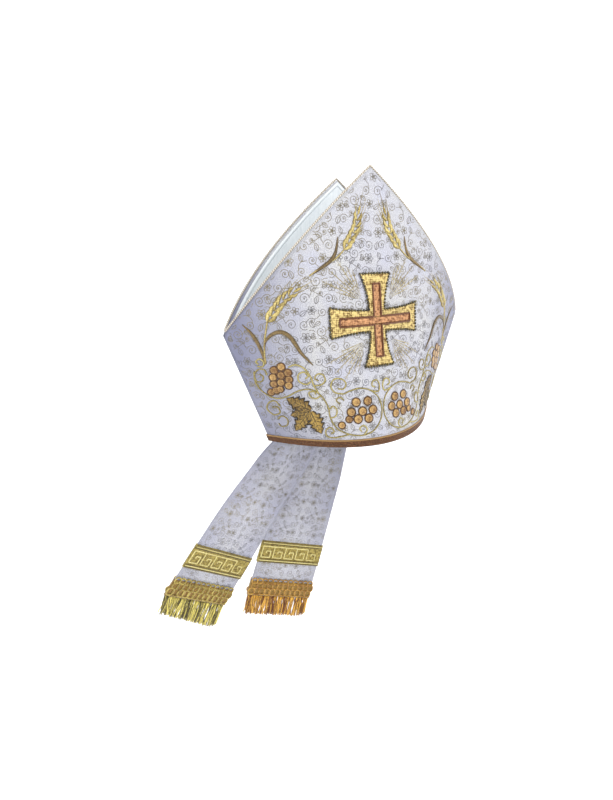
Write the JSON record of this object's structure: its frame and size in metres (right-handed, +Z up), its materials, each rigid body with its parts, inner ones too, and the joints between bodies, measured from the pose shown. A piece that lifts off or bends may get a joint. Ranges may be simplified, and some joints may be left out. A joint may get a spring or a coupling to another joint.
{
  "type": "bishop mitre",
  "caption": "Bishop's mitre: two pointed brocade horns with an applied cross, a satin lining folded between them, a braided rim, and fringed lappets hanging from the back.",
  "frame": {"origin": "middle of the head opening, level with the rim's lower edge, where a head carries the mitre", "axes": "+Z up through the tips, -Y out of the front horn, +X to the right of someone who looks at the front"},
  "size_m": [0.4448, 0.1552, 0.6403],
  "materials": {
    "brocade": "silver-white figured silk with a soft sheen",
    "satin": "smooth pale satin",
    "piping": "fine twisted cord, silver and gold",
    "bronze_braid": "ribbed metallic braid",
    "gold_applique": "gold thread embroidery on cloth",
    "gold_galloon": "woven metallic galloon",
    "gold_header": "looped metallic cord",
    "gold_fringe": "twisted metallic threads"
  },
  "bodies": {
    "root": {"front_panel": "brocade", "back_panel": "brocade", "lining": "satin", "front_piping": "piping", "back_piping": "piping", "rim_braid": "bronze_braid", "cross": "gold_applique", "lappet_left": "brocade", "key_band_left": "gold_galloon", "fringe_header_left": "gold_header", "fringe_left": "gold_fringe", "lappet_right": "brocade", "key_band_right": "gold_galloon", "fringe_header_right": "gold_header", "fringe_right": "gold_fringe"}
  },
  "joints": []
}
